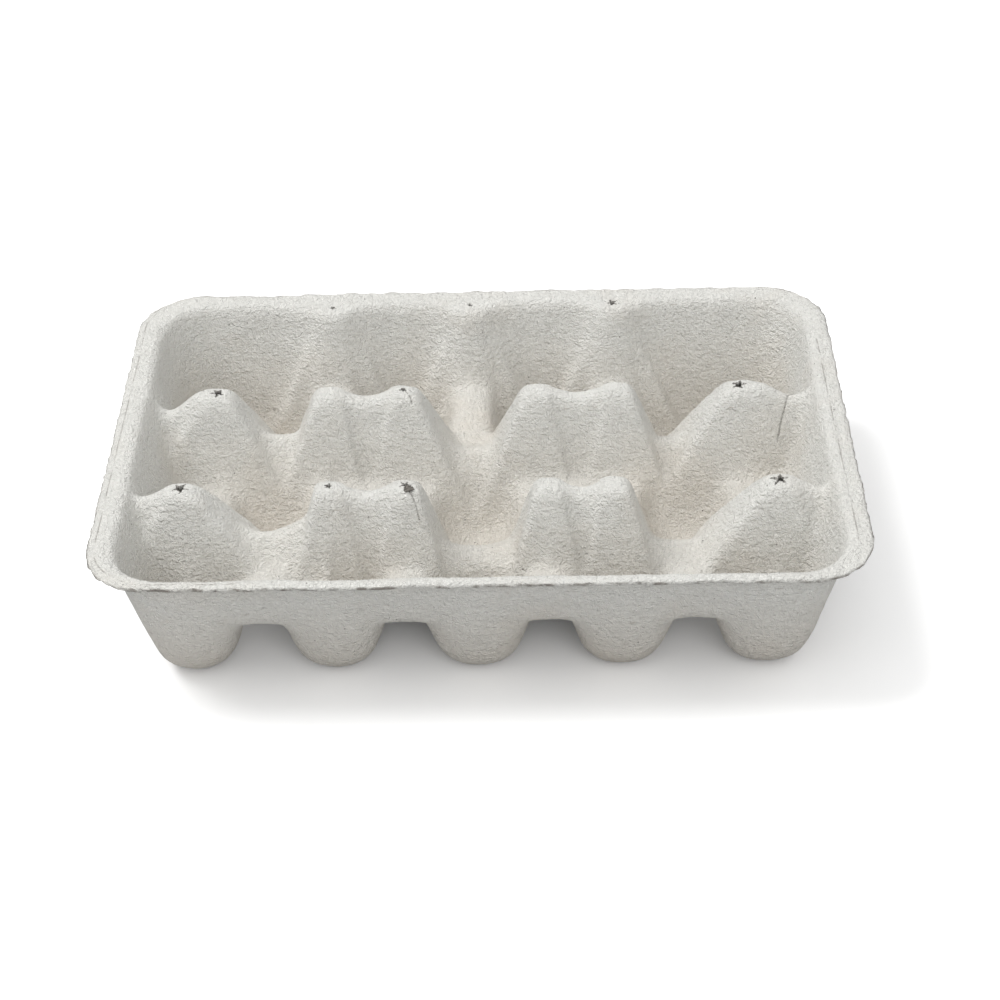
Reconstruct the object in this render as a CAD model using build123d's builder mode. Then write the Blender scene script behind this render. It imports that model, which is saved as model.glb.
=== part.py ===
"""Moulded pulp egg tray: one thin shell of cups, posts and ridges under a flat rim.

Frame: millimetres, +Z up. The origin is on the table, under the middle of the rim.
The front wall with its five lobes faces -Y. Every wall leans outwards, so that the tray
lifts off its mould: the shell is what lies between a lower skin and an upper skin, and
both skins are built from the same cups, posts and ridges, one wall apart.
"""
from build123d import *
from math import radians, tan
import os

# ---- Driving dimensions -------------------------------------------------------------
tray_width = 254.0       # along X, over the rim
tray_depth = 183.0       # along Y, over the rim
tray_height = 51.0       # table to the top of the rim
wall = 2.0               # pulp thickness, everywhere
rim_side = 8.0           # flat rim at the left and right
rim_end = 6.0            # flat rim at the front and back
rim_corner = 24.0        # outer corner radius of the rim

draft = 15.0             # lean of cup walls from the vertical, degrees
hall_draft = 24.0        # lean of the wall panels between the cups, degrees
divider_height = 25.0    # top of the low ridges between cups
divider_half = 7.0       # half thickness of those ridges at their top
cup_corner = 8.0         # corner radius of a cup floor, seen from above
cup_round = 8.0          # rounding where a cup floor turns up into its walls

post_top = 12.4          # width of a post's flat top
post_corner = 4.6        # corner radius of that top, seen from above
hollow_corner = 3.6      # the same for the hollow under it
post_dome = 3.2          # rounding of the top's edge
post_draft = 13.0        # lean of the post faces, degrees
post_reach = 44.0        # how far a back half-post runs out under the rim

ridge_half = 4.2         # half thickness of a ridge at its crest
ridge_draft = 14.0       # lean of its sides, degrees
pair_dip = 5.0           # how far the ridge inside a pair of posts lies under their tops
side_dip = 7.0           # the same for the ridges from the end posts to the side walls
shoulder_dip = 4.5       # the same where a ridge starts down from a post to a saddle

pocket_floor = 24.0      # height of the floors of the shallow side pockets
pocket_width = 5.0       # those floors along X
pocket_length = 16.0     # and along Y
pocket_round = 2.2       # corner radius of those floors

# ---- Layout: rows run along X, front to back -----------------------------------------
row_a = -35.3            # front row of posts
row_b = 23.2             # middle row of posts
row_c = 80.0             # back row, half-posts that merge with the rim
posts_a = (-100.0, -50.5, -24.9, 22.7, 45.0, 99.9)
posts_b = (-93.4, -54.0, -27.5, 19.8, 48.4, 91.0)
posts_c = (-55.6, -4.4, 48.6)
saddles_a = (31.5, 26.0, 26.5)      # low points of the ridges between the pairs
saddles_b = (32.0, 26.5, 28.5)
front_dividers = (-71.7, -24.9, 22.7, 70.0)

# Torn star holes, as (row, post number, radius)
torn_a = {0: 2.6, 1: 1.4, 2: 1.9, 5: 2.8}
torn_b = {0: 2.4, 2: 1.6, 5: 2.6}
torn_c = {0: 1.4, 1: 1.2, 2: 2.0}
star_points = 5          # points of a star
star_waist = 0.45        # inner radius of a star as a share of its outer radius

# ---- Sizes that follow ----------------------------------------------------------------
lean = tan(radians(draft))
hall_lean = tan(radians(hall_draft))
ridge_lean = tan(radians(ridge_draft))
over = 1.0               # how far cutting bodies run past the skin they open

inside_x = tray_width / 2 - rim_side                     # inner edge of the rim
inside_y = tray_depth / 2 - rim_end
floor_x = inside_x - (tray_height - wall) * lean         # the same wall at the cup floors
floor_y = inside_y - (tray_height - wall) * lean
divider_foot = divider_half + (divider_height - wall) * lean


def spans(dividers):
    """The floors between dividers, from the left wall to the right wall."""
    starts = [-floor_x] + [x + divider_foot for x in dividers]
    ends = [x - divider_foot for x in dividers] + [floor_x]
    return list(zip(starts, ends))


def middle_spans():
    """The three middle cups, each between the posts on either side of it."""
    lines = [(a + b) / 2 for a, b in zip(posts_a, posts_b)]
    pairs = [(lines[0], lines[1]), (lines[2], lines[3]), (lines[4], lines[5])]
    return [(x1 + divider_foot, x2 - divider_foot) for x1, x2 in pairs]


front_cups = [(x1, x2, -floor_y, row_a - divider_foot) for x1, x2 in spans(front_dividers)]
middle_cups = [(x1, x2, row_a + divider_foot, row_b - divider_foot) for x1, x2 in middle_spans()]
back_cups = [(x1, x2, row_b + divider_foot, floor_y) for x1, x2 in spans(posts_c)]
cups = front_cups + middle_cups + back_cups

pocket_x = inside_x - (tray_height - pocket_floor) * lean - pocket_width / 2
pocket_y = (row_a + row_b) / 2


def funnel(x, y, size_x, size_y, corner, low, slope, foot_round=0.0):
    """A cavity that widens upwards to the rim, with a rounded rectangle for its section."""
    with BuildPart() as body:
        with BuildSketch(Plane.XY.offset(low)):
            with Locations((x, y)):
                RectangleRounded(size_x, size_y, corner)
        extrude(amount=tray_height - low, taper=-slope)
        if foot_round:
            fillet(body.edges().group_by(Axis.Z)[0], foot_round)
    return body.part


def cup(x1, x2, y1, y2, skin):
    """One cup's cavity. skin is 0 for the upper skin and the wall for the lower one."""
    size_x, size_y = x2 - x1 + 2 * skin, y2 - y1 + 2 * skin
    return funnel((x1 + x2) / 2, (y1 + y2) / 2, size_x, size_y, cup_corner + skin,
                  wall - skin, draft, cup_round + skin)


def pocket(side, skin):
    """A shallow half-width cup between the side wall and the end posts."""
    return funnel(side * pocket_x, pocket_y, pocket_width + 2 * skin, pocket_length + 2 * skin,
                  pocket_round + skin, pocket_floor - skin, draft)


def hall(skin):
    """The open space over all the dividers, up to the rim."""
    drop = (tray_height - divider_height + skin) * hall_lean
    return funnel(0, 0, 2 * (inside_x - drop + skin), 2 * (inside_y - drop + skin),
                  cup_corner + skin, divider_height - skin, hall_draft)


def post(x, y, skin, reach=0.0):
    """A post's solid, drawn down from its top. skin is 0 for its outside, the wall for its hollow."""
    top = tray_height - skin
    width = post_top - 2 * skin
    with BuildPart() as body:
        with BuildSketch(Plane(origin=(x, y + reach / 2, top), z_dir=(0, 0, -1))):
            RectangleRounded(width, width + reach, hollow_corner if skin else post_corner)
        extrude(amount=top + over, taper=-post_draft)
        fillet(body.edges().group_by(Axis.Z)[-1], post_dome - skin)
    return body.part


def ridge(x1, crest1, x2, crest2, y, skin):
    """A ridge along X whose crest runs straight from one height to another."""
    half = ridge_half - skin
    with BuildPart() as body:
        for x, crest in ((x1, crest1), (x2, crest2)):
            top = crest - skin
            foot = half + (top + over) * ridge_lean
            with BuildSketch(Plane.YZ.offset(x)):
                with BuildLine():
                    Polyline((y - foot, -over), (y + foot, -over), (y + half, top),
                             (y - half, top), close=True)
                make_face()
        loft(ruled=True)
    return body.part


def relief(skin):
    """Every post and ridge that stands above the dividers, as one list of solids."""
    solids = [post(x, row_a, skin) for x in posts_a]
    solids += [post(x, row_b, skin) for x in posts_b]
    solids += [post(x, row_c, skin, post_reach) for x in posts_c]
    shoulder = tray_height - shoulder_dip
    joined = tray_height - pair_dip
    edge = tray_width / 2 + over
    for xs, y, lows in ((posts_a, row_a, saddles_a), (posts_b, row_b, saddles_b)):
        for left in (1, 3):
            solids.append(ridge(xs[left], joined, xs[left + 1], joined, y, skin))
        for left, low in zip((0, 2, 4), lows):
            middle = (xs[left] + xs[left + 1]) / 2
            solids.append(ridge(xs[left], shoulder, middle, low, y, skin))
            solids.append(ridge(middle, low, xs[left + 1], shoulder, y, skin))
        side = tray_height - side_dip
        solids.append(ridge(-edge, side, xs[0], side, y, skin))
        solids.append(ridge(xs[-1], side, edge, side, y, skin))
    return solids


def star(x, y, radius):
    """A torn hole through a post's top."""
    turn = 180 / star_points
    tips = [Vector(radius, 0).rotate(Axis.Z, 2 * turn * i) for i in range(star_points)]
    waists = [Vector(radius * star_waist, 0).rotate(Axis.Z, turn * (2 * i + 1)) for i in range(star_points)]
    with BuildPart() as body:
        with BuildSketch(Plane(origin=(x, y, tray_height - wall - over))):
            with BuildLine():
                Polyline(*[point for both in zip(tips, waists) for point in both], close=True)
            make_face()
        extrude(amount=wall + 2 * over)
    return body.part


def hollows(skin):
    """The hall, the cups and the pockets, as one list of solids."""
    return [hall(skin)] + [cup(*box, skin) for box in cups] + [pocket(side, skin) for side in (-1, 1)]


# ---- The space above the upper skin -----------------------------------------------------
with BuildPart() as air:
    add(hollows(0))
    add(relief(0), mode=Mode.SUBTRACT)

# ---- The tray ---------------------------------------------------------------------------
stars = [star(xs[number], y, radius)
         for xs, y, torn in ((posts_a, row_a, torn_a), (posts_b, row_b, torn_b), (posts_c, row_c, torn_c))
         for number, radius in torn.items()]

with BuildPart() as egg_tray:
    # everything inside the lower skin of the walls and cups, and the flat rim
    add(hollows(wall))
    with BuildSketch(Plane.XY.offset(tray_height - wall)):
        RectangleRounded(tray_width, tray_depth, rim_corner)
    extrude(amount=wall)
    # opened from above, hollowed from below, and torn at the post tops
    add(air.part, mode=Mode.SUBTRACT)
    add(relief(wall) + stars, mode=Mode.SUBTRACT)

egg_tray.part.label = "egg_tray"

os.makedirs("parts", exist_ok=True)
export_step(egg_tray.part, "parts/egg_tray.step")
print("solids", len(egg_tray.part.solids()), "volume", round(egg_tray.part.volume))
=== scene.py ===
# %% [markdown]
# # A moulded pulp egg tray
# Wet paper pulp is sucked onto a wire mould and dried, so the real tray is one skin of even
# thickness with no seam. That settles how to model it. One surface is shaped as a height over the
# table, relaxed so that its faces spread evenly over the steep walls, roughened, torn where the
# real one is torn, and then given a thickness. The frame comes first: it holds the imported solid,
# and every size below agrees with that solid.

# %% Load the frame
import math

import bmesh
import bpy
import numpy as np
from mathutils import Matrix, Vector, noise


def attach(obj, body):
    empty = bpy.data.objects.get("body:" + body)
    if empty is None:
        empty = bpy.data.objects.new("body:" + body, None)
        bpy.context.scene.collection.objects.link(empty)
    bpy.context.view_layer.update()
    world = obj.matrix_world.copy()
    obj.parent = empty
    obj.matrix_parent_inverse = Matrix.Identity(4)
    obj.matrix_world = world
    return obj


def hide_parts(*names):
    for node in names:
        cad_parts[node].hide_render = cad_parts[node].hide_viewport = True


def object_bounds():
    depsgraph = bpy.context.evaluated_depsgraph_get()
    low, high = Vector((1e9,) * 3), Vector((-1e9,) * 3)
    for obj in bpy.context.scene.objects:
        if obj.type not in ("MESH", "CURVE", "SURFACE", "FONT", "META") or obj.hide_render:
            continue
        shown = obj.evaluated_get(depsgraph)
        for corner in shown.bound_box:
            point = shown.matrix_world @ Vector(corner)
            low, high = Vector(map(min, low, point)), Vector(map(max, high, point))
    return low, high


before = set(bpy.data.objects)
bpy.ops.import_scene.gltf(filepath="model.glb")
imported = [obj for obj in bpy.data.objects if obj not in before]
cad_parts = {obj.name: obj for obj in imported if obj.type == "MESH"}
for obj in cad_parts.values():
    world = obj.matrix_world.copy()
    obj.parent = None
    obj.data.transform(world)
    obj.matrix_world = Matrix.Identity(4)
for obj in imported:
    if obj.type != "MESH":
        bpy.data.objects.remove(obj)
cad_low, cad_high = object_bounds()
MM = 0.001
width, depth, height = [size / MM for size in cad_high - cad_low]
print("tray", round(width), "x", round(depth), "x", round(height), "mm")

# %% [markdown]
# ## The layout
# The tray has three rows of posts that run along X. The front row of cups has five, the middle row
# three and the back row four, so the posts are staggered, and they are a little uneven, as on any
# tray off a worn mould. Sizes are in millimetres here, because a maker of trays thinks in them, and
# the mesh is scaled to metres once, at the end.

# %% Sizes and places
wall = 2.0
rim_side, rim_front, rim_back = 9.0, 5.6, 10.0   # flat rim, to where the inner wall starts down
rim_corner = 24.0
cup_draft, panel_draft = 15.0, 18.5              # lean of the walls from the vertical, in degrees
divider_half = 7.2                               # half width of the low ridges between the cups

row_a, row_b, row_c = -35.3, 23.2, 80.0
posts_a = (-100.0, -50.5, -24.9, 22.7, 45.0, 99.9)
posts_b = (-93.4, -54.0, -27.5, 19.8, 48.4, 91.0)
posts_c = (-55.6, -4.4, 48.6)
front_dividers = (-71.7, -24.9, 22.7, 70.0)
open_x = width / 2 - rim_side
open_front, open_back = -depth / 2 + rim_front, depth / 2 - rim_back
print("posts in the rows:", len(posts_a), len(posts_b), len(posts_c))

# %% [markdown]
# ## Blending heights
# Every feature below is a height over the table, and features meet where one height passes the
# other. A plain minimum leaves a knife edge there. A soft minimum rounds it, and its last number
# says how broadly, in millimetres of height, which is just what a felt-covered mould does.

# %% Soft minimum and maximum
def soft_max(a, b, blend):
    """The larger of two heights, with the edge between them rounded off."""
    return (a + b + np.sqrt((a - b) ** 2 + blend ** 2)) / 2


def soft_min(a, b, blend):
    """The smaller of two heights, rounded in the same way."""
    return -soft_max(-a, -b, blend)


print("two equal heights blend to", float(soft_max(10.0, 10.0, 2.0)))

# %% [markdown]
# ## Cups
# A cup has a small flat floor, a rounded turn and straight walls that lean outwards, so that the
# tray lifts off its mould. A whole cup is one formula: the height depends only on how far a point
# lies outside the flat floor. Where two cups meet, the lower height wins, and the low divider
# between them appears by itself. The front lobes are squarer in plan than the other cups.

# %% Height of a cup wall
steep = 1 / math.tan(math.radians(cup_draft))
panel_steep = 1 / math.tan(math.radians(panel_draft))
cup_round, cup_corner = 13.0, 3.0
turn_reach = cup_round * math.sin(math.atan(steep))
turn_height = cup_round * (1 - math.cos(math.atan(steep)))
divider_top = 25.0
divider_foot = divider_half + turn_reach + (divider_top - wall - turn_height) / steep
rim_run = turn_reach + (height - wall - turn_height) / steep


def outside(x, y, cx, cy, hx, hy, corner, squareness=2.0):
    """Distance to a rounded rectangle, negative inside it."""
    qx = np.abs(x - cx) - (hx - corner)
    qy = np.abs(y - cy) - (hy - corner)
    far = (np.maximum(qx, 0) ** squareness + np.maximum(qy, 0) ** squareness) ** (1 / squareness)
    return far + np.minimum(np.maximum(qx, qy), 0) - corner


def cup_height(x, y, box):
    """Height of the upper skin for one cup, from the box of its flat floor and its squareness."""
    x1, x2, y1, y2, squareness = box
    reach = outside(x, y, (x1 + x2) / 2, (y1 + y2) / 2, (x2 - x1) / 2, (y2 - y1) / 2, cup_corner, squareness)
    bent = np.clip(reach, 0, turn_reach)
    arc = cup_round - np.sqrt(cup_round ** 2 - bent ** 2)
    return wall + arc + np.maximum(reach - turn_reach, 0) * steep


def floors_between(dividers, y1, y2, squareness):
    """Floor boxes of a row of cups that reaches from the left wall to the right wall."""
    starts = [-open_x + rim_run] + [x + divider_foot for x in dividers]
    ends = [x - divider_foot for x in dividers] + [open_x - rim_run]
    return [(x1, x2, y1, y2, squareness) for x1, x2 in zip(starts, ends)]


lines = [(a + b) / 2 for a, b in zip(posts_a, posts_b)]
middle = [(lines[i] + divider_foot, lines[i + 1] - divider_foot, row_a + divider_foot, row_b - divider_foot, 2.0)
          for i in (0, 2, 4)]
cups = (floors_between(front_dividers, open_front + rim_run, row_a - divider_foot, 3.2) + middle
        + floors_between(posts_c, row_b + divider_foot, open_back - rim_run, 3.0))
print("cups", len(cups))

# %% [markdown]
# ## Posts
# A post is a pyramid with a domed top. Its front and back are steep, while its left and right
# flanks each have a slope of their own: those inside a pair stand nearly upright, and those of the
# corner posts run far down into the saddle beside them. Taking the larger of the two falls, front
# to back and side to side, gives four faces, and blending them softens the arrises.

# %% Height of a post
front_lean = 3.4                                 # rise over run of the front and back faces
flanks_a = ((2.2, 1.35), (4.6, 5.0), (5.0, 4.0), (4.2, 5.0), (5.0, 3.8), (1.35, 2.2))
flanks_b = ((1.5, 2.0), (3.0, 5.0), (5.0, 2.4), (2.5, 5.0), (5.0, 3.0), (1.6, 1.9))
flank_c = 2.1
post_half, back_half = 4.6, 3.6                  # half widths at the top, before the dome's roundness
dome = 26.0                                      # twice the radius of the dome on a post


def pyramid(x, y, px, py, left, right, half, arris):
    """Height of one post."""
    side = np.where(x < px, (px - x - half) * left, (x - px - half) * right)
    front = (np.abs(y - py) - half) * front_lean
    fall = soft_max(side, front, arris)
    crown = ((x - px) ** 2 + (y - py) ** 2) / dome
    return height - soft_max(fall, crown, 3.0)


def back_post(x, y, px):
    """A half-post that runs on under the back rim."""
    return pyramid(x, np.minimum(y, row_c), px, row_c, flank_c, flank_c, back_half, 3.0)


print("corner post's right flank leans", round(math.degrees(math.atan(1 / flanks_a[0][1]))), "degrees")

# %% [markdown]
# ## Ridges and saddles
# Ridges join the posts of a row. Inside a pair the crest sags only a little. Between pairs it is
# low, which leaves a saddle that an egg's side rests on, and beside the end posts it dips and then
# joins the wall. Each is a crest line along X, less a slope times the distance from it.

# %% Height of a ridge
pair_half, pair_sag = 3.4, 3.2
side_half, side_lean = 2.6, 2.6
saddle_half, saddle_lean = 2.0, 1.35
saddles_a = ((-77.0, 31.0, 6.0), (1.0, 21.5, 7.0), (66.5, 24.0, 6.0))    # place, height, half length
saddles_b = ((-72.0, 31.5, 5.0), (-2.0, 24.0, 7.0), (68.0, 27.5, 6.0))


def ridge(x, y, py, crest, half, lean, x1, x2):
    """A ridge along X between two places, with the crest height given at every x."""
    beyond = np.maximum(np.maximum(x1 - x, x - x2), 0)
    return crest - soft_max((np.abs(y - py) - half) * lean, ((y - py) ** 2) / dome, 2.0) - beyond * 8


def row_height(x, y, xs, py, flanks, saddles, side_dips):
    """A whole row of posts with the ridges between them."""
    out = np.full(x.shape, -height)
    for px, (left, right) in zip(xs, flanks):
        out = soft_max(out, pyramid(x, y, px, py, left, right, post_half, 1.4), 1.2)
    for i in (1, 3):
        middle, reach = (xs[i] + xs[i + 1]) / 2, (xs[i + 1] - xs[i]) / 2
        crest = height - 0.6 - pair_sag * np.cos((x - middle) / reach * math.pi / 2).clip(0) ** 2
        out = soft_max(out, ridge(x, y, py, crest, pair_half, front_lean, xs[i], xs[i + 1]), 1.6)
    for i, (place, low, reach) in zip((0, 2, 4), saddles):
        crest = low + np.maximum(np.abs(x - place) - reach, 0) * 0.5
        out = soft_max(out, ridge(x, y, py, crest, saddle_half, saddle_lean, xs[i], xs[i + 1]), 4.0)
    for end, dip in zip((-1, 1), side_dips):
        px = xs[0] if end < 0 else xs[-1]
        edge = end * width / 2
        crest = height - dip * np.cos((x - (px * 0.45 + edge * 0.55)) / 14.0 * math.pi / 2).clip(0) ** 2
        out = soft_max(out, ridge(x, y, py, crest, side_half, side_lean, *sorted((px, edge))), 2.0)
    return out


print("saddles sit at", [low for _, low, _ in saddles_a + saddles_b], "mm")

# %% [markdown]
# ## The whole upper skin
# The cups are cut by a hall, the open space over the dividers. Its floor is a little lower over the
# middle cups, and its sides are the flat panels that show between the lobes of the outer wall. It
# stops short of the back wall, and what it leaves between the round back cups are the wedges that
# the back half-posts grow from. The posts and ridges are then raised, and the rim cuts all off level.

# %% Upper skin
hall_y, hall_z = (-62.0, -22.0, 10.0, 58.0), (27.0, 20.0, 20.0, 24.0)
back_cusps = 74.0


def upper_skin(x, y):
    """Height of the tray's upper skin at points x, y."""
    cup = np.min([cup_height(x, y, box) for box in cups], axis=0)
    middle_y = (open_front + open_back) / 2
    from_rim = -outside(x, y, 0, middle_y, open_x, (open_back - open_front) / 2, rim_corner - rim_side / 2)
    sides = soft_max(height - from_rim * panel_steep, height - (back_cusps - y) * front_lean, 3.0)
    hall = soft_max(np.interp(y, hall_y, hall_z), sides, 3.0)
    skin = soft_min(cup, hall, np.clip(from_rim * 0.7, 1.2, 9.0))
    for row in ((posts_a, row_a, flanks_a, saddles_a, (5.0, 5.0)), (posts_b, row_b, flanks_b, saddles_b, (8.5, 6.0))):
        skin = soft_max(skin, row_height(x, y, *row), 3.5)
    for px in posts_c:
        skin = soft_max(skin, back_post(x, y, px), 3.0)
    return soft_min(skin, np.full(x.shape, height), 1.6)


print("a cup floor lies at", round(float(upper_skin(np.array([0.0]), np.array([-62.0]))[0]), 2))

# %% [markdown]
# ## A grid that fits a rounded rectangle
# A plain grid has corners, and the rim hasn't. Each ring of the square grid is sent to a rounded
# rectangle with the same centre, so the outermost ring is the rim's edge.

# %% Rounded grid
columns, rows = 234, 170


def rounded_grid(columns, rows):
    """Grid points x, y whose rings are rounded rectangles."""
    u, v = np.meshgrid(np.linspace(-1, 1, columns), np.linspace(-1, 1, rows))
    ring = np.maximum(np.abs(u), np.abs(v))
    x, y = u * width / 2, v * depth / 2
    corner = rim_corner * ring ** 2
    hx, hy = ring * width / 2 - corner, ring * depth / 2 - corner
    over_x, over_y = np.abs(x) - hx, np.abs(y) - hy
    in_corner = (over_x > 0) & (over_y > 0) & (corner > 0)
    tiny = 1e-9
    share = np.where(over_x >= over_y, over_y / np.maximum(over_x, tiny) / 2,
                     1 - over_x / np.maximum(over_y, tiny) / 2)
    angle = share * math.pi / 2
    x = np.where(in_corner, np.sign(x) * (hx + corner * np.cos(angle)), x)
    y = np.where(in_corner, np.sign(y) * (hy + corner * np.sin(angle)), y)
    return x, y


grid_x, grid_y = rounded_grid(columns, rows)
print("grid points", grid_x.size)

# %% [markdown]
# ## Relaxing the grid
# Seen from above, the steep walls cover little ground, so an even grid leaves their faces long and
# thin. Each point moves towards the mean of its four neighbours, weighted by the length of the edge
# to each, and then back onto the height formula, which pulls points onto the walls. Two rounds
# without the formula soften what is left of the creases.

# %% Relax and soften
inner = (slice(1, -1), slice(1, -1))
sides = ((slice(0, -2), slice(1, -1)), (slice(2, None), slice(1, -1)),
         (slice(1, -1), slice(0, -2)), (slice(1, -1), slice(2, None)))


def neighbours_mean(values):
    """Mean of the four neighbours for the inner points; the edge stays."""
    out = values.copy()
    out[inner] = sum(values[side] for side in sides) / 4
    return out


def stretch_mean(x, y, z):
    """The same for x and y, weighted by edge length."""
    lengths = [np.sqrt((x[s] - x[inner]) ** 2 + (y[s] - y[inner]) ** 2 + (z[s] - z[inner]) ** 2) for s in sides]
    out_x, out_y = x.copy(), y.copy()
    out_x[inner] = sum(l * x[s] for l, s in zip(lengths, sides)) / sum(lengths)
    out_y[inner] = sum(l * y[s] for l, s in zip(lengths, sides)) / sum(lengths)
    return out_x, out_y


for _ in range(40):
    grid_x, grid_y = neighbours_mean(grid_x), neighbours_mean(grid_y)
for _ in range(60):
    mean_x, mean_y = stretch_mean(grid_x, grid_y, upper_skin(grid_x, grid_y))
    grid_x, grid_y = (grid_x + mean_x) / 2, (grid_y + mean_y) / 2
grid_z = upper_skin(grid_x, grid_y)
for _ in range(2):
    grid_x, grid_y, grid_z = [(g + neighbours_mean(g)) / 2 for g in (grid_x, grid_y, grid_z)]
print("heights from", round(float(grid_z.min()), 2), "to", round(float(grid_z.max()), 2))

# %% Build the mesh
def grid_mesh(name, x, y, z):
    """A mesh of quads over a grid of points."""
    r, c = x.shape
    points = np.stack([x, y, z], axis=-1).reshape(-1, 3)
    index = np.arange(r * c).reshape(r, c)
    faces = np.stack([index[:-1, :-1], index[:-1, 1:], index[1:, 1:], index[1:, :-1]], axis=-1)
    mesh = bpy.data.meshes.new(name)
    mesh.from_pydata(points.tolist(), [], faces.reshape(-1, 4).tolist())
    mesh.update()
    return mesh


mesh = grid_mesh("pulp_tray", grid_x, grid_y, grid_z)
print("faces", len(mesh.polygons))

# %% [markdown]
# ## Torn tops and cracks
# When a dried tray is pulled off its mould, the thin tops of some posts tear open in a small star,
# and a crack may run on down the side. The faces there are divided finely, those inside the star
# are deleted, and the points along a crack are pushed down. A fine mesh is only spent where it shows.

# %% Where the tray is torn
stars = [(posts_a[0], row_a, 2.7), (posts_a[1], row_a, 1.5), (posts_a[2], row_a, 2.0), (posts_a[5], row_a, 2.9),
         (posts_b[0], row_b, 2.5), (posts_b[2], row_b, 1.5), (posts_b[5], row_b, 2.7),
         (posts_c[0], row_c, 1.4), (posts_c[1], row_c, 1.2), (posts_c[2], row_c, 2.1)]
cracks = [((-24.2, -36.6), (-22.9, -39.2), (-21.4, -41.0), (-20.4, -42.6)),
          ((-26.6, 22.4), (-25.2, 20.4), (-24.4, 18.2)),
          ((104.5, 13.5), (105.8, 17.0), (107.6, 20.2), (108.9, 24.0), (112.5, 26.0))]
near_star, near_crack, crack_width = 1.6, 1.3, 0.42
print("stars", len(stars), "cracks", len(cracks))


def to_path(x, y, path):
    """Distance from a point to a crack's path, seen from above."""
    best = math.inf
    for (x1, y1), (x2, y2) in zip(path, path[1:]):
        run = (x2 - x1) ** 2 + (y2 - y1) ** 2
        share = min(max(((x - x1) * (x2 - x1) + (y - y1) * (y2 - y1)) / run, 0), 1)
        best = min(best, math.hypot(x - x1 - share * (x2 - x1), y - y1 - share * (y2 - y1)))
    return best


def in_star(x, y, sx, sy, radius):
    """Whether a point is inside a ragged star."""
    angle, away = math.atan2(y - sy, x - sx), math.hypot(x - sx, y - sy)
    point = abs(math.cos(angle * 2.5 + sx)) ** 4
    ragged = 0.35 * noise.noise(Vector((x, y, sx)) * 1.3)
    return away < radius * (0.40 + 0.50 * point + ragged)


# %% Divide, tear and crack
def divide_near(bm, is_near):
    """Divide the faces near a feature into four along each side."""
    found = {vert for vert in bm.verts if is_near(vert.co.x, vert.co.y)}
    edges = [edge for edge in bm.edges if edge.verts[0] in found and edge.verts[1] in found]
    bmesh.ops.subdivide_edges(bm, edges=edges, cuts=3, use_grid_fill=True)


bm = bmesh.new()
bm.from_mesh(mesh)
for sx, sy, radius in stars:
    divide_near(bm, lambda x, y: math.hypot(x - sx, y - sy) < radius + near_star)
for path in cracks:
    divide_near(bm, lambda x, y: to_path(x, y, path) < near_crack)
# This layer marks the cracks and the edges of the torn stars, and the material paints them dark there as painted
# shade.
painted_tear_shade = bm.verts.layers.float.new("painted_tear_shade")
for vert in bm.verts:
    x, y = vert.co.x, vert.co.y
    for path in cracks:
        if abs(x - path[0][0]) < 12 and abs(y - path[0][1]) < 16:
            share = max(1 - to_path(x, y, path) / crack_width, 0)
            share *= 0.6 + 0.8 * abs(noise.noise(vert.co * 1.3))
            vert[painted_tear_shade] = max(vert[painted_tear_shade], min(share, 1))
            vert.co.z -= 0.7 * share
    for sx, sy, radius in stars:
        away = math.hypot(x - sx, y - sy)
        if away < radius + near_star:
            vert.co.z -= 0.35 * max(1 - away / (radius + near_star), 0) ** 2
            if in_star(x, y, sx, sy, radius * 1.12):
                vert[painted_tear_shade] = 0.8
lost = []
for face in bm.faces:
    middle_point = face.calc_center_median()
    if any(abs(middle_point.x - sx) < 4 and abs(middle_point.y - sy) < 4
           and in_star(middle_point.x, middle_point.y, sx, sy, radius) for sx, sy, radius in stars):
        lost.append(face)
bmesh.ops.delete(bm, geom=lost, context="FACES")
print("torn faces", len(lost), "faces left", len(bm.faces))

# %% [markdown]
# ## The rim's edge and the uneven skin
# The edge of the rim is where the pulp is thinnest and most ragged. It sags a little, it wanders, a
# bite is missing on the right of the front, and on three sides a shallow step runs along it, where
# the trimming tool pressed. Everywhere else the skin is lumpy on the scale of a few millimetres.
# Smooth noise moves the points, and it is real geometry, so it also shows in the outline.

# %% Shape the rim's edge
lip_left, lip_back, lip_right = 2.8, 1.4, 5.3     # width of the pressed strip
lip_drop = 0.55


def edge_distance(x, y):
    """Distance in from the rim's outer edge."""
    return -float(outside(x, y, 0, 0, width / 2, depth / 2, rim_corner))


def pressed(x, y, inward):
    """How far the strip along the edge is pressed down."""
    strip = lip_left if x < -width * 0.3 else lip_right if x > width * 0.45 and y < 52 else lip_back
    if y < -depth * 0.4 and abs(x) < width * 0.42:
        return 0.0
    return lip_drop * min(max((strip - inward) / 0.5 + 0.5, 0), 1)


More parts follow.
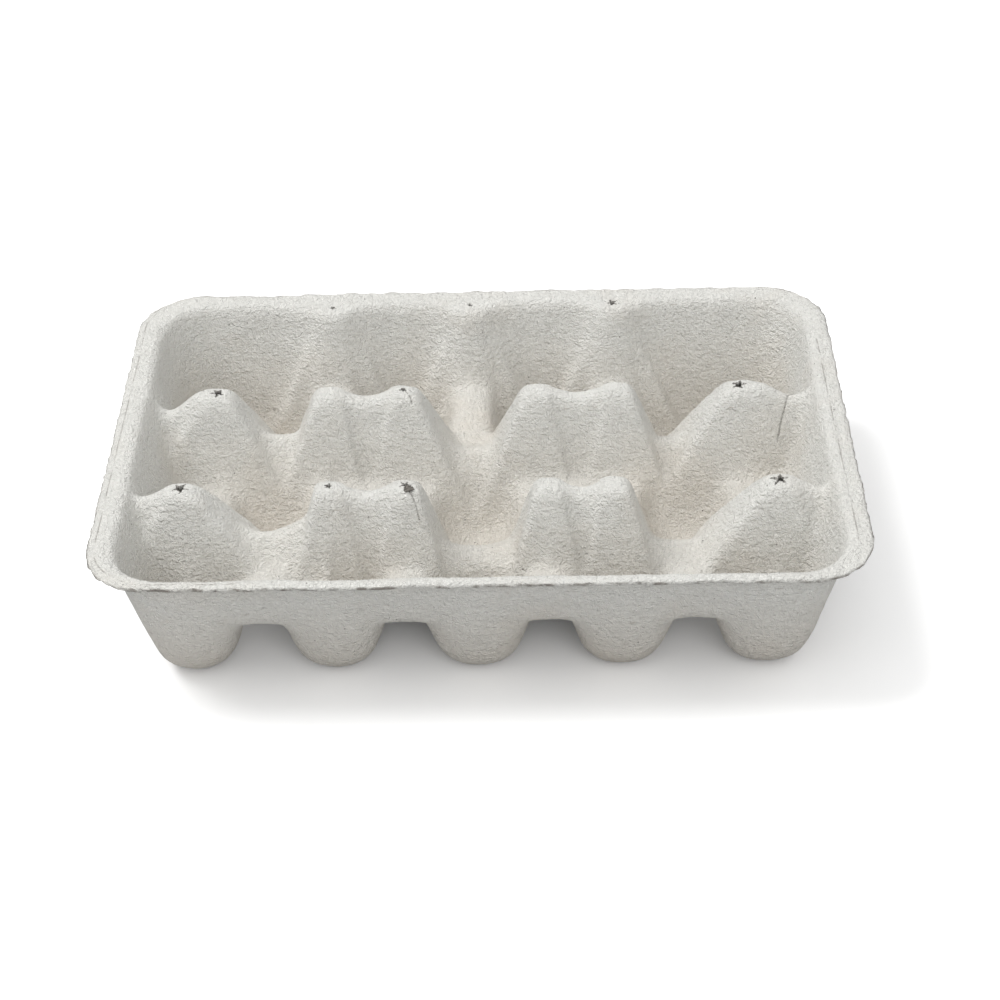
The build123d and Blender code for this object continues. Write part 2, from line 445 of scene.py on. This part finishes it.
bites = ((74.0, 8.0, 1.5), (50.0, 3.0, 0.6), (-22.0, 4.0, 0.5), (-104.0, 9.0, 1.0))   # x, half width, depth
bm.normal_update()
edge_layer = bm.verts.layers.float.new("edge")
for vert in bm.verts:
    x, y, z = vert.co
    inward = edge_distance(x, y)
    lump = 0.24 * noise.noise(vert.co / 7.5) + 0.13 * noise.noise(vert.co / 3.1) + 0.07 * noise.noise(vert.co / 1.4)
    low = min(max(z / 12, 0.15), 1)
    move = vert.normal * lump * low
    if z > height - 4 and inward < 14:
        move.z += 0.35 * noise.noise(Vector((x, y, 7)) / 30) - 0.2 - pressed(x, y, inward)
        move.z -= 0.55 * math.exp(-inward / 0.9) * (1 + noise.noise(Vector((x, y, 3)) / 5))
        if y < 0 and x < -width * 0.4:
            move.z -= 1.2 * math.exp(-inward / 0.8) * max(noise.noise(Vector((x, y, 9)) / 3) + 0.3, 0)
    if inward < 4:
        fade = math.exp(-inward / 1.2)
        pull = 0.45 * noise.noise(Vector((x, y, 0)) / 4) + 0.3 * noise.noise(Vector((x, y, 0)) / 1.5) - 0.25
        for place, half, bite in bites:
            if y < -depth * 0.4:
                rag = 0.7 + 0.6 * noise.noise(Vector((x, 0, 1)) / 1.2)
                pull -= bite * rag * max(1 - ((x - place) / half) ** 2, 0)
        away = Vector((x / width, y / depth, 0)).normalized()
        move += away * pull * fade
    # The edge layer marks the rim's outer edge, where the material paints shade.
    vert[edge_layer] = max(1 - inward / 1.2, 0)
    vert.co += move
bm.to_mesh(mesh)
bm.free()
print("points", len(mesh.vertices))

# %% Give the skin its thickness
mesh.transform(Matrix.Scale(MM, 4))
mesh.shade_smooth()
tray = bpy.data.objects.new("pulp_tray", mesh)
bpy.context.scene.collection.objects.link(tray)
full = tray.vertex_groups.new(name="full thickness")
for vert in mesh.vertices:
    inward = edge_distance(vert.co.x / MM, vert.co.y / MM)
    full.add([vert.index], min(max(0.45 + inward / 5, 0.45), 1), "REPLACE")
thickness = tray.modifiers.new("pulp thickness", "SOLIDIFY")
thickness.thickness = wall * MM
thickness.offset = -1
thickness.vertex_group = full.name
print("triangles, about", 4 * len(mesh.polygons))

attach(tray, "root")
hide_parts("egg_tray")

# %% [markdown]
# ## Writing shader maths in Python
# A material is a graph of nodes. Placed one by one it is hard to read, so two small classes let it
# be written as a formula. A wire is a socket that can be added, multiplied and compared, and each
# operator adds one Math node. Any other node comes from the material's own method.

# %% Wires and materials
class Wire:
    """A socket that can stand in an expression."""

    def __init__(self, paint, socket):
        self.paint, self.socket = paint, socket

    def math(self, operation, *others):
        return self.paint.node("Math", {"operation": operation}, dict(enumerate((self, *others))))

    def __add__(self, other): return self.math("ADD", other)
    def __sub__(self, other): return self.math("SUBTRACT", other)
    def __mul__(self, other): return self.math("MULTIPLY", other)
    def __truediv__(self, other): return self.math("DIVIDE", other)
    def __gt__(self, other): return self.math("GREATER_THAN", other)
    def __lt__(self, other): return self.math("LESS_THAN", other)
    def __rsub__(self, other): return self.paint.node("Math", {"operation": "SUBTRACT"}, {0: other, 1: self})
    __radd__, __rmul__ = __add__, __mul__

    def between(self, low, high):
        """0 at low, 1 at high, straight between and flat beyond."""
        return self.paint.node("MapRange", {}, {"Value": self, "From Min": low, "From Max": high})


class Paint:
    """A material under construction."""

    def __init__(self, name):
        self.material = bpy.data.materials.new(name)
        self.material.use_nodes = True
        self.tree = self.material.node_tree
        self.tree.nodes.clear()

    def node(self, kind, settings, sockets, output=0):
        """Add a node: its settings first, then the values or wires of its sockets."""
        made = self.tree.nodes.new("ShaderNode" + kind)
        for name, value in settings.items():
            setattr(made, name, value)
        for name, value in sockets.items():
            if isinstance(value, Wire):
                self.tree.links.new(value.socket, made.inputs[name])
            else:
                made.inputs[name].default_value = value
        return None if output is None else Wire(self, made.outputs[output])

    def mix(self, share, first, second):
        """Blend two colours."""
        settings = {"data_type": "RGBA"}
        return self.node("Mix", settings, {"Factor": share, 6: first, 7: second}, output=2)

    def finish(self, shader):
        self.node("OutputMaterial", {}, {"Surface": shader}, output=None)
        return self.material


print("shader helpers ready")

# %% [markdown]
# ## Dry pulp
# The pulp is recycled paper: off-white, quite matt, warmer in random patches, and full of grain, with
# a few dark specks and stray fibres. Painted shade makes it darker and warmer low in the cups, and dark
# along the tears, the front of the rim's edge and the foot of the step along the rim. The grain is far
# too fine for the mesh, so it is a bump, built from three scales of noise. Specks are the middles of a
# few cells of a Voronoi pattern, and fibres are the same with the pattern stretched.

# %% Pulp material
def specks(paint, place, turn, stretch, cell, size, share):
    """Sparse dark dots, or fibres where the pattern is stretched. Lengths are in metres."""
    scale = (1 / cell / stretch, 1 / cell, 1 / cell)
    laid = paint.node("Mapping", {}, {"Vector": place, "Rotation": turn, "Scale": scale})
    sockets = {"Vector": laid, "Scale": 1.0}
    away = paint.node("TexVoronoi", {}, sockets)
    cell_colour = paint.node("TexVoronoi", {}, sockets, output=1)
    chance = paint.node("SeparateColor", {}, {"Color": cell_colour})
    return away.between(size, size * 0.55) * (chance < share)


def step_shade_lines(x, y):
    """Painted shade: a dark hairline at the foot of the step along the left, right and back of the rim."""
    corner = rim_corner * MM
    over_x = x.math("ABSOLUTE") - (width * MM / 2 - corner)
    over_y = y.math("ABSOLUTE") - (depth * MM / 2 - corner)
    far = (over_x.math("MAXIMUM", 0.0).math("POWER", 2.0) + over_y.math("MAXIMUM", 0.0).math("POWER", 2.0))
    inward = corner - far.math("SQRT") - over_x.math("MAXIMUM", over_y).math("MINIMUM", 0.0)

    def line(strip):
        return (inward - strip * MM).math("ABSOLUTE").between(0.00034, 0.00012)

    left = line(lip_left) * (x < -0.3 * width * MM)
    right = line(lip_right) * (x > 0.45 * width * MM) * (y < 0.052) * (y > -0.07)
    back = line(lip_back) * (y > 0.4 * depth * MM)
    return left + right + back


def pulp_material():
    """Off-white moulded pulp."""
    paint = Paint("dry_pulp")
    place = paint.node("TexCoord", {}, {}, output=3)
    wide_x, wide_y, high = [paint.node("SeparateXYZ", {}, {"Vector": place}, output=i) for i in range(3)]

    def cloud(size, detail=3.0, roughness=0.6):
        sockets = {"Vector": place, "Scale": 1 / size, "Detail": detail, "Roughness": roughness}
        return paint.node("TexNoise", {}, sockets)

    # Painted shade: darker and warmer low in the cups, by height. The broad cloud adds warmer patches at random, the
    # pulp's own tone.
    painted_cup_shade_and_tone = high.between(0.040, 0.006) * 0.65 + cloud(0.03).between(0.5, 0.75) * 0.35
    colour = paint.mix(painted_cup_shade_and_tone, (0.870, 0.862, 0.820, 1), (0.835, 0.775, 0.690, 1))
    colour = paint.mix(cloud(0.0022).between(0.52, 0.72) * 0.18, colour, (0.62, 0.59, 0.54, 1))
    dots = specks(paint, place, (0, 0, 0), 1, 0.0034, 0.11, 0.08)
    small_dots = specks(paint, place, (1, 0, 0.4), 1, 0.0022, 0.13, 0.07)
    fibres = specks(paint, place, (0.3, 0.2, 0.7), 7, 0.0021, 0.12, 0.09)
    cross_fibres = specks(paint, place, (0.9, -0.4, -0.9), 6, 0.0021, 0.12, 0.07)
    colour = paint.mix(small_dots * 0.55 + fibres * 0.45 + cross_fibres * 0.45, colour, (0.36, 0.29, 0.23, 1))
    colour = paint.mix(dots * 0.8, colour, (0.15, 0.13, 0.11, 1))
    # Painted shade: the cracks and the edges of the torn stars are painted nearly black.
    painted_tear_shade = paint.node("Attribute", {"attribute_name": "painted_tear_shade"}, {}, output=2)
    colour = paint.mix(painted_tear_shade.between(0.1, 0.9) * 0.8, colour, (0.12, 0.10, 0.08, 1))
    # Painted shade: the front of the rim's outer edge is painted dark in ragged dashes, and so is the foot of the
    # step along the other three sides.
    edge = paint.node("Attribute", {"attribute_name": "edge"}, {}, output=2)
    ragged = cloud(0.004).between(0.42, 0.60)
    in_front = wide_y.between(0.0, -0.04)
    # Painted shade at the foot of the step, broken up by noise.
    lines = step_shade_lines(wide_x, wide_y) * cloud(0.007).between(0.40, 0.58)
    painted_edge_shade = edge.between(0.55, 0.95) * ragged * in_front * 0.85 + lines * 0.55
    colour = paint.mix(painted_edge_shade, colour, (0.27, 0.24, 0.21, 1))

    grain = cloud(0.00075, 2.0, 0.7)
    curd = cloud(0.0019, 2.0)
    laid = paint.node("Mapping", {}, {"Vector": place, "Rotation": (0.2, 0.3, 0.6), "Scale": (160, 900, 900)})
    hairs = paint.node("TexNoise", {}, {"Vector": laid, "Scale": 1.0, "Detail": 2.0})
    relief = grain * 0.8 + curd * 0.9 + hairs * 0.3
    normal = paint.node("Bump", {}, {"Strength": 1.0, "Distance": 0.0024, "Height": relief})
    shader = paint.node("BsdfPrincipled", {}, {"Base Color": colour, "Roughness": 0.95, "Normal": normal,
                                               "Specular IOR Level": 0.2})
    return paint.finish(shader)


mesh.materials.append(pulp_material())
print("materials on the tray:", [material.name for material in mesh.materials])

# %% [markdown]
# ## The camera
# The camera stands in front and above, a little to the left, with a long lens, so that the rows
# hardly narrow towards the back. It is placed by where it looks and from how far away, and its three
# directions make its rotation.

# %% Camera
elevation, azimuth, roll = math.radians(35.5), math.radians(-0.796), math.radians(-1.388)
distance, focal = 767.2, 83.93
aim = Vector((6.73, -46.03, height))
look = Vector((math.sin(azimuth) * math.cos(elevation), math.cos(azimuth) * math.cos(elevation),
               -math.sin(elevation)))
right = Vector((math.cos(azimuth), -math.sin(azimuth), 0))
up = right.cross(look)
right, up = (math.cos(roll) * right + math.sin(roll) * up, math.cos(roll) * up - math.sin(roll) * right)
camera_data = bpy.data.cameras.new("camera")
camera_data.lens, camera_data.sensor_width = focal, 36
camera_data.clip_start, camera_data.clip_end = 0.01, 20
camera = bpy.data.objects.new("camera", camera_data)
bpy.context.scene.collection.objects.link(camera)
turn = Matrix((right, up, -look)).transposed().to_4x4()
camera.matrix_world = Matrix.Translation((aim - look * distance) * MM) @ turn
bpy.context.scene.camera = camera
print("camera stands", round(distance), "mm away")

# %% [markdown]
# ## A white floor that keeps its shadow
# A plain white floor renders light grey, because it returns only a share of the light that reaches
# it. For the camera and for reflections alone its colour is brighter than paper can be, which lifts
# it to white and leaves the light on the tray alone. The shadow stays, because it is still lit.

# %% Floor
def floor_material():
    """White paper that the camera sees as white, with the tray's shadow on it."""
    paint = Paint("white_floor")
    camera_ray = paint.node("LightPath", {}, {}, output="Is Camera Ray")
    glossy_ray = paint.node("LightPath", {}, {}, output="Is Glossy Ray")
    through_ray = paint.node("LightPath", {}, {}, output="Is Transmission Ray")
    seen = camera_ray.math("MAXIMUM", glossy_ray).math("MAXIMUM", through_ray)
    colour = paint.mix(seen, (0.5, 0.5, 0.5, 1), (1.12, 1.12, 1.12, 1))
    return paint.finish(paint.node("BsdfDiffuse", {}, {"Color": colour}))


bpy.ops.mesh.primitive_plane_add(size=12)
floor = bpy.context.active_object
floor.name = "floor"
floor.data.materials.append(floor_material())

# %% [markdown]
# ## Light
# A large soft lamp, high on the left and a little behind, brightens the tops and left flanks and
# leaves the fronts a shade darker, which is what shows the relief. A white room fills the rest.

# %% Lamps and room
def area_light(name, place, target, size, power):
    """A round soft lamp."""
    data = bpy.data.lights.new(name, "AREA")
    data.shape, data.size, data.energy = "DISK", size, power
    lamp = bpy.data.objects.new(name, data)
    bpy.context.scene.collection.objects.link(lamp)
    lamp.location = place
    lamp.rotation_mode = "QUATERNION"
    lamp.rotation_quaternion = (Vector(target) - Vector(place)).to_track_quat("-Z", "Y")


area_light("window", (-1.7, 0.5, 2.9), (0, 0, 0.03), 1.7, 66)
area_light("front fill", (0.5, -2.6, 1.7), (0, 0, 0.03), 2.2, 26)
world = bpy.data.worlds.new("studio")
bpy.context.scene.world = world
world.use_nodes = True
world.node_tree.nodes["Background"].inputs["Color"].default_value = (1, 1, 1, 1)
sky = world.node_tree.nodes
direction = sky.new("ShaderNodeTexCoord")
split = sky.new("ShaderNodeSeparateXYZ")
strength = sky.new("ShaderNodeMapRange")
strength.inputs["To Min"].default_value, strength.inputs["To Max"].default_value = 0.36, 0.98
world.node_tree.links.new(direction.outputs["Generated"], split.inputs["Vector"])
world.node_tree.links.new(split.outputs["Z"], strength.inputs["Value"])
world.node_tree.links.new(strength.outputs["Result"], sky["Background"].inputs["Strength"])
bpy.context.scene.view_settings.view_transform = "Standard"
